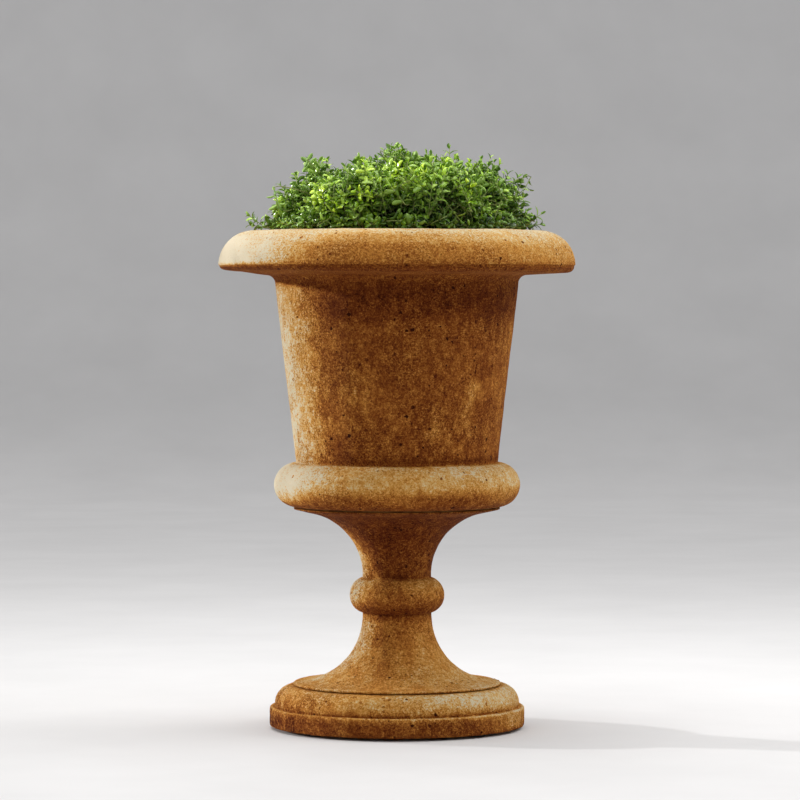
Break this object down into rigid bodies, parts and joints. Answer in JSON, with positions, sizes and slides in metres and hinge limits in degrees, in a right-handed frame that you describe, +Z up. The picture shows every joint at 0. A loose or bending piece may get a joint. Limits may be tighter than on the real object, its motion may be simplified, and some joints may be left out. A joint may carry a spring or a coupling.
{
  "type": "planter",
  "caption": "Turned cast-stone urn planter on a round pedestal, with a rolled rim, a drain down its axis and a low mound of small-leaved shrubs.",
  "frame": {"origin": "centre of the footprint, on the ground under the pads", "axes": "+Z up the turned axis, +X to the right as the picture shows it, and -Y towards the viewer"},
  "size_m": [0.53, 0.53, 0.862],
  "materials": {
    "cast_stone": "matte",
    "pad_rubber": "matte",
    "seal_rubber": "matte",
    "dowel_steel": "satin",
    "sleeve_plastic": "satin",
    "screen_plastic": "satin",
    "gravel": "matte",
    "filter_cloth": "matte",
    "potting_soil": "matte",
    "root_mass": "matte",
    "stem_wood": "matte",
    "leaves": "satin"
  },
  "bodies": {
    "stand": {"foot_pads": "pad_rubber", "plinth": "cast_stone", "plinth_setting_ring": "seal_rubber", "plinth_dowels": "dowel_steel", "pedestal": "cast_stone", "drain_sleeve": "sleeve_plastic", "bowl_setting_ring": "seal_rubber", "bowl_dowels": "dowel_steel"},
    "bowl": {"bowl": "cast_stone", "drain_screen": "screen_plastic", "gravel_bed": "gravel", "filter_cloth": "filter_cloth"},
    "planting": {"potting_soil": "potting_soil", "shrub_middle_root_ball": "root_mass", "shrub_middle_stems": "stem_wood", "shrub_middle_foliage": "leaves", "shrub_1_root_ball": "root_mass", "shrub_1_stems": "stem_wood", "shrub_1_foliage": "leaves", "shrub_2_root_ball": "root_mass", "shrub_2_stems": "stem_wood", "shrub_2_foliage": "leaves", "shrub_3_root_ball": "root_mass", "shrub_3_stems": "stem_wood", "shrub_3_foliage": "leaves", "shrub_4_root_ball": "root_mass", "shrub_4_stems": "stem_wood", "shrub_4_foliage": "leaves", "shrub_5_root_ball": "root_mass", "shrub_5_stems": "stem_wood", "shrub_5_foliage": "leaves", "shrub_6_root_ball": "root_mass", "shrub_6_stems": "stem_wood", "shrub_6_foliage": "leaves"}
  },
  "joints": [
    {"name": "bowl_lift", "type": "slide", "parent": "stand", "child": "bowl", "axis": [0, 0, 1], "range_m": [0, 0.12]},
    {"name": "planting_lift", "type": "slide", "parent": "bowl", "child": "planting", "axis": [0, 0, 1], "range_m": [0, 0.34]}
  ]
}
